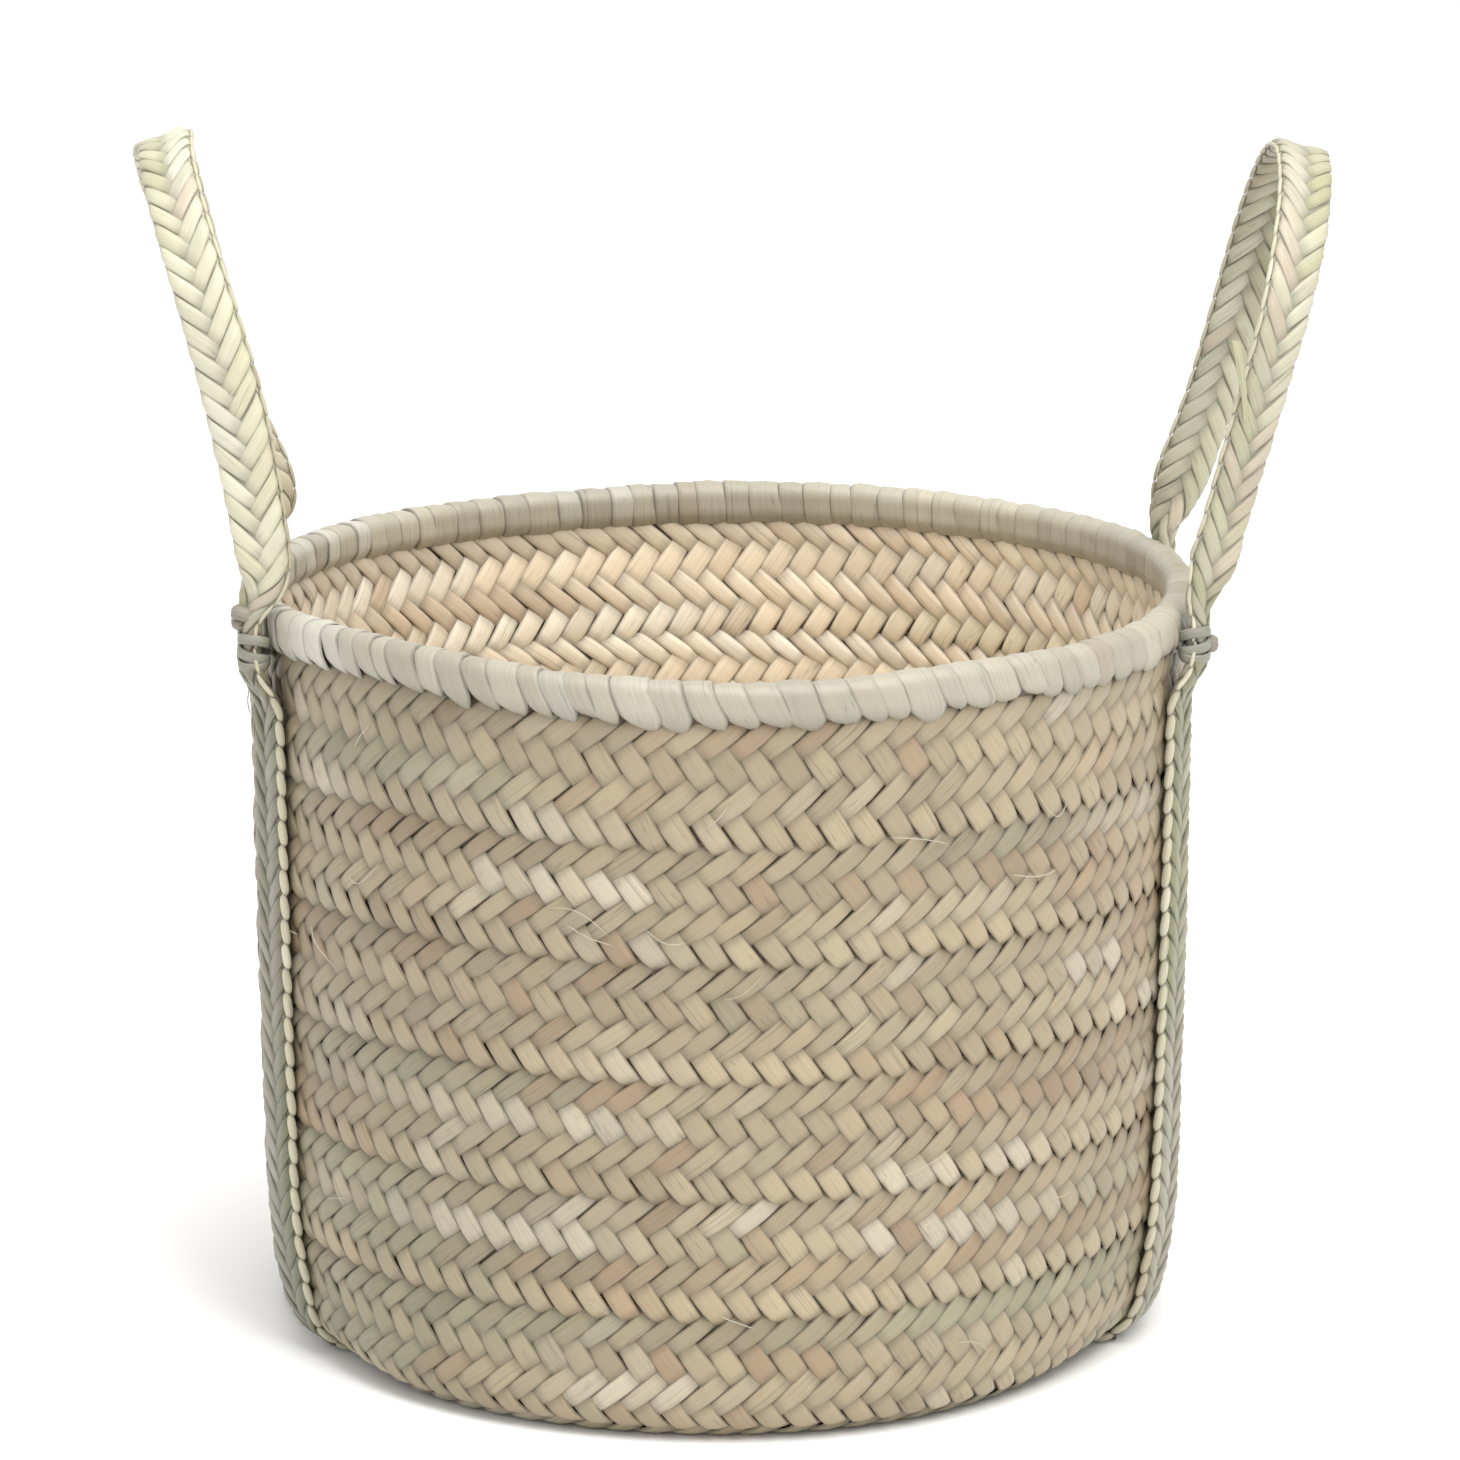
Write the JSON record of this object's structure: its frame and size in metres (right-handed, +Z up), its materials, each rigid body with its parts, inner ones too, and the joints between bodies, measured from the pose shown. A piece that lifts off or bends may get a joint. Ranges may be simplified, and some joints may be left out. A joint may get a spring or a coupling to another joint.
{
  "type": "plaited basket",
  "caption": "Round open basket of coiled, sewn palm-leaf plait with a wrapped rim and two plaited loop handles that bend where they leave the rim.",
  "frame": {"origin": "on the floor under the middle of the base", "axes": "+Z up, handles at -X and +X, front faces -Y"},
  "size_m": [0.392, 0.316, 0.3902],
  "materials": {
    "wall_plait": "dry plaited palm leaf, matt with a slight sheen",
    "strap_plait": "pale green-grey plaited palm leaf, matt",
    "rim_leaf": "pale cream leaf strip, smooth",
    "sewing_strand": "twisted leaf strand",
    "leaf_bundle": "loose leaf bundle"
  },
  "bodies": {
    "basket": {"base_centre": "wall_plait", "base_strap_front": "strap_plait", "base_strap_rear": "strap_plait", "base_turn_1": "wall_plait", "base_turn_2": "wall_plait", "base_turn_3": "wall_plait", "lashing_left_front": "rim_leaf", "lashing_left_rear": "rim_leaf", "lashing_right_front": "rim_leaf", "lashing_right_rear": "rim_leaf", "rim_core": "leaf_bundle", "rim_wrap": "rim_leaf", "seam_cord_1": "sewing_strand", "seam_cord_2": "sewing_strand", "seam_cord_3": "sewing_strand", "seam_cord_4": "sewing_strand", "seam_cord_5": "sewing_strand", "seam_cord_6": "sewing_strand", "seam_cord_7": "sewing_strand", "seam_cord_8": "sewing_strand", "seam_cord_9": "sewing_strand", "strap_edging_left_front": "sewing_strand", "strap_edging_left_rear": "sewing_strand", "strap_edging_right_front": "sewing_strand", "strap_edging_right_rear": "sewing_strand", "strap_left_front": "strap_plait", "strap_left_rear": "strap_plait", "strap_right_front": "strap_plait", "strap_right_rear": "strap_plait", "wall_turn_1": "wall_plait", "wall_turn_2": "wall_plait", "wall_turn_3": "wall_plait", "wall_turn_4": "wall_plait", "wall_turn_5": "wall_plait", "wall_turn_6": "wall_plait"},
    "left_handle": {"handle_left": "strap_plait", "handle_seam_left": "sewing_strand"},
    "right_handle": {"handle_right": "strap_plait", "handle_seam_right": "sewing_strand"}
  },
  "joints": [
    {"name": "left_handle_bend", "type": "hinge", "parent": "basket", "child": "left_handle", "pos_m": [-0.15263, 0, 0.25114], "axis": [0, -1, 0], "range_deg": [-55, 40], "stiffness_Nm_per_rad": 0.2, "springref_deg": -0.69},
    {"name": "right_handle_bend", "type": "hinge", "parent": "basket", "child": "right_handle", "pos_m": [0.15263, 0, 0.25114], "axis": [0, 1, 0], "range_deg": [-55, 40], "stiffness_Nm_per_rad": 0.2, "springref_deg": -0.69}
  ]
}
